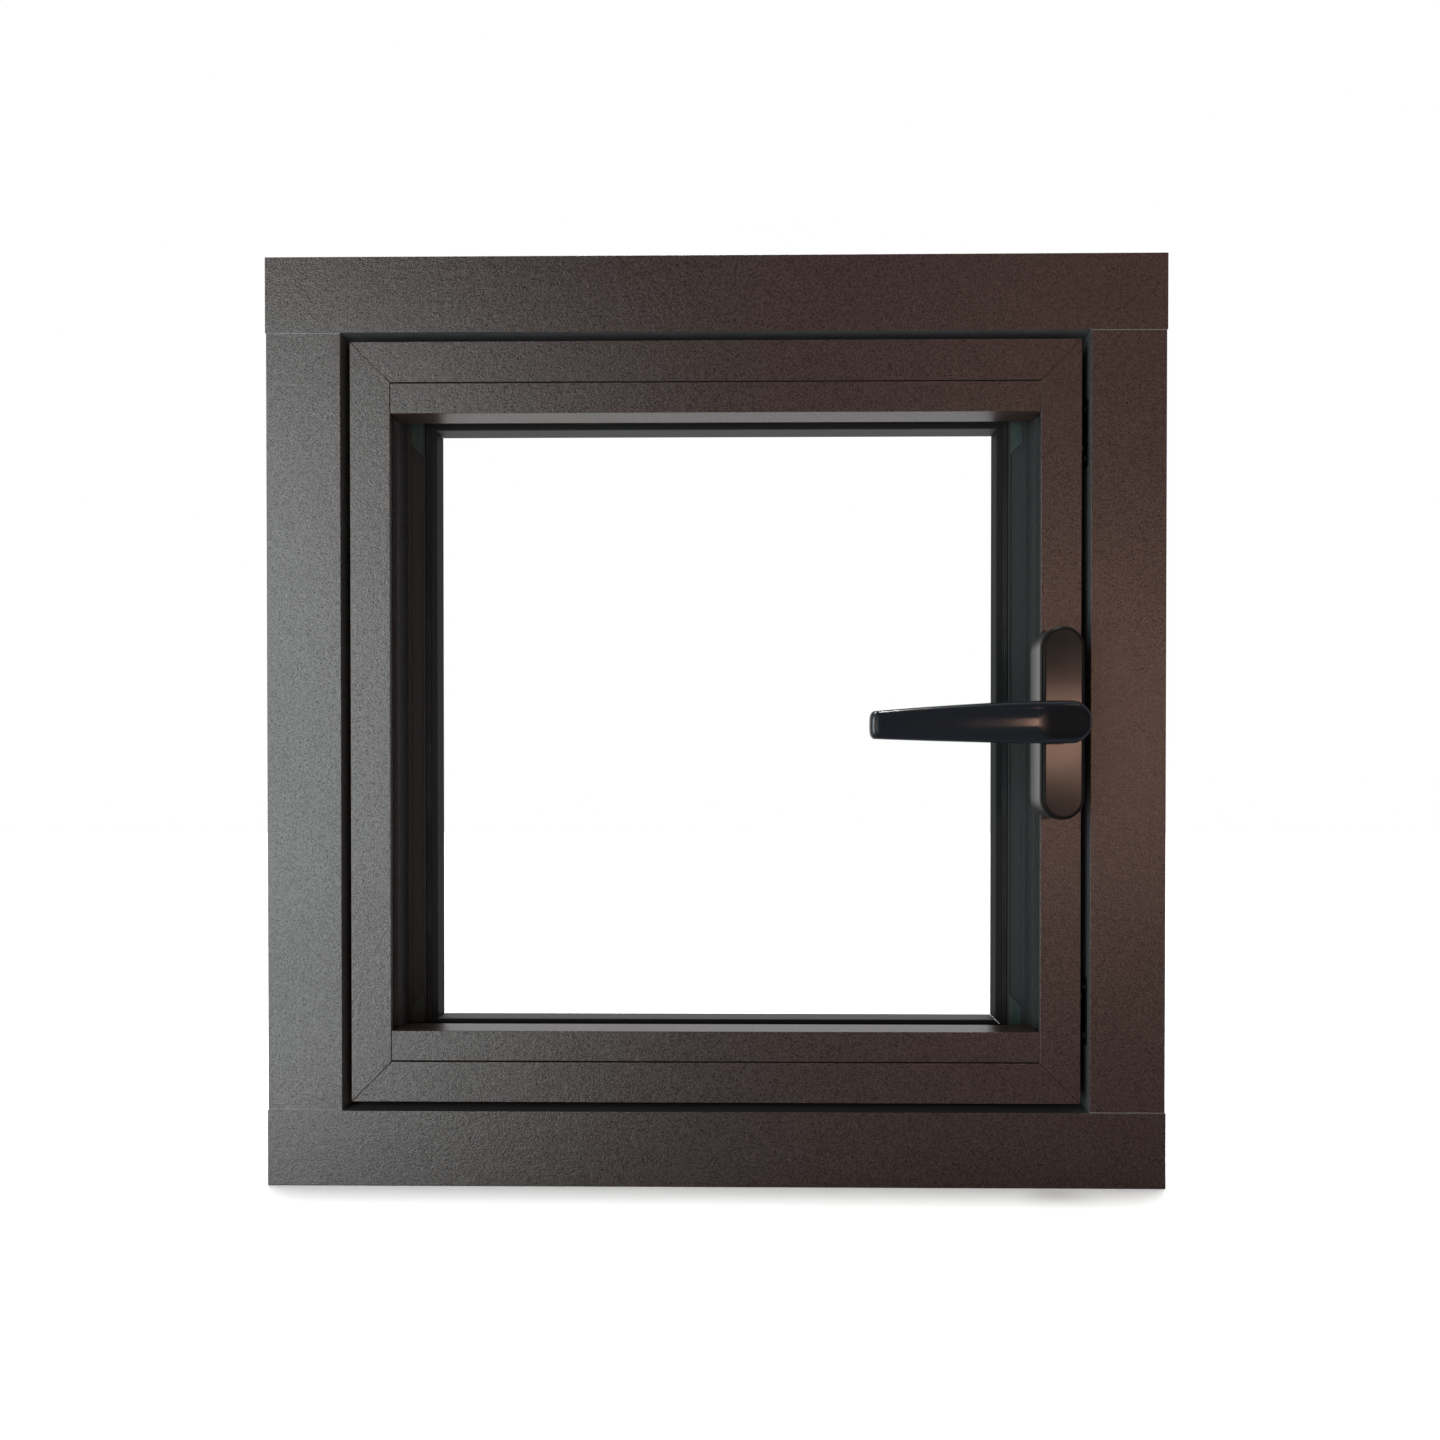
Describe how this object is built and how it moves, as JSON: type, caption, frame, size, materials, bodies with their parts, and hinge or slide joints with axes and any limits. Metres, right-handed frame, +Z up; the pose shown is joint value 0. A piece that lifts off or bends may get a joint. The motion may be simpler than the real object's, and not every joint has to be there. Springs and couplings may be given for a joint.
{
  "type": "casement window",
  "caption": "Side-hung outward-opening aluminium casement window with a butt-jointed frame, mitred sash, glazing beads, barrel hinges and a lever handle that drives a cremone lock.",
  "frame": {"origin": "middle of the frame's underside, at half the frame's depth", "axes": "+X to the lock side as seen from indoors, +Y outdoors, +Z up"},
  "size_m": [0.6, 0.1095, 0.621],
  "materials": {
    "frame_powder_coat": "satin dark bronze powder coat with a fine speckle",
    "sash_powder_coat": "satin dark bronze powder coat with a fine speckle",
    "polyamide": "black glass-filled polyamide",
    "screw_steel": "zinc-plated steel",
    "seal_rubber": "black extruded rubber",
    "hinge_coat": "satin dark bronze powder coat",
    "pin_steel": "stainless steel",
    "cleat_aluminium": "mill-finish extruded aluminium",
    "corner_plate": "dull grey-green stamped sheet",
    "handle_base_coat": "satin black coat",
    "handle_lever_coat": "satin black coat",
    "lever_cap": "black moulded plastic",
    "gear_steel": "machined steel",
    "rod_aluminium": "drawn aluminium",
    "lock_steel": "dark zinc-plated steel"
  },
  "bodies": {
    "frame": {"frame_head_inner": "frame_powder_coat", "frame_head_outer": "frame_powder_coat", "frame_sill_inner": "frame_powder_coat", "frame_sill_outer": "frame_powder_coat", "frame_left_jamb_inner": "frame_powder_coat", "frame_left_jamb_outer": "frame_powder_coat", "frame_right_jamb_inner": "frame_powder_coat", "frame_right_jamb_outer": "frame_powder_coat", "frame_head_thermal_strips": "polyamide", "frame_sill_thermal_strips": "polyamide", "frame_left_jamb_thermal_strips": "polyamide", "frame_right_jamb_thermal_strips": "polyamide", "frame_joint_screws": "screw_steel", "frame_gasket": "seal_rubber", "lower_hinge_frame_leaf": "hinge_coat", "upper_hinge_frame_leaf": "hinge_coat", "hinge_pins": "pin_steel", "hinge_frame_screws": "screw_steel", "upper_keep": "lock_steel", "lower_keep": "lock_steel", "keep_screws": "screw_steel"},
    "sash": {"sash_top_rail_inner": "sash_powder_coat", "sash_top_rail_outer": "sash_powder_coat", "sash_bottom_rail_inner": "sash_powder_coat", "sash_bottom_rail_outer": "sash_powder_coat", "sash_hinge_stile_inner": "sash_powder_coat", "sash_hinge_stile_outer": "sash_powder_coat", "sash_lock_stile_inner": "sash_powder_coat", "sash_lock_stile_outer": "sash_powder_coat", "sash_top_rail_thermal_strips": "polyamide", "sash_bottom_rail_thermal_strips": "polyamide", "sash_hinge_stile_thermal_strips": "polyamide", "sash_lock_stile_thermal_strips": "polyamide", "inner_corner_cleats": "cleat_aluminium", "outer_corner_cleats": "cleat_aluminium", "corner_alignment_plates": "corner_plate", "top_glazing_bead": "sash_powder_coat", "bottom_glazing_bead": "sash_powder_coat", "glazing_gasket": "seal_rubber", "sash_perimeter_seal": "seal_rubber", "lower_hinge_sash_leaf": "hinge_coat", "upper_hinge_sash_leaf": "hinge_coat", "hinge_sash_screws": "screw_steel", "handle_base": "handle_base_coat", "handle_base_cover": "handle_base_coat", "handle_fixing_screws": "screw_steel", "detent_ball": "gear_steel", "detent_spring": "gear_steel"},
    "handle": {"handle_lever": "handle_lever_coat", "handle_lever_cap": "lever_cap", "handle_spindle": "gear_steel", "handle_grub_screw": "screw_steel", "handle_retaining_ring": "screw_steel", "drive_pinion": "gear_steel"},
    "upper_rod": {"upper_drive_rack": "gear_steel", "upper_drive_rod": "rod_aluminium", "upper_lock_pin": "lock_steel"},
    "lower_rod": {"lower_drive_rack": "gear_steel", "lower_drive_rod": "rod_aluminium", "lower_lock_pin": "lock_steel"}
  },
  "joints": [
    {"name": "sash_swing", "type": "hinge", "parent": "frame", "child": "sash", "pos_m": [-0.262, 0.032, 0.3105], "axis": [0, 0, 1], "range_deg": [0, 90]},
    {"name": "handle_turn", "type": "hinge", "parent": "sash", "child": "handle", "pos_m": [0.2236, -0.052, 0.309], "axis": [0, -1, 0], "range_deg": [0, 90]},
    {"name": "upper_rod_slide", "type": "slide", "parent": "sash", "child": "upper_rod", "axis": [0, 0, 1], "range_m": [0, 0.0099]},
    {"name": "lower_rod_slide", "type": "slide", "parent": "sash", "child": "lower_rod", "axis": [0, 0, -1], "range_m": [0, 0.0099]}
  ],
  "couplings": [
    {"joint": "upper_rod_slide", "follows": "handle_turn", "m_per_rad": 0.00625},
    {"joint": "lower_rod_slide", "follows": "handle_turn", "m_per_rad": 0.00625}
  ]
}
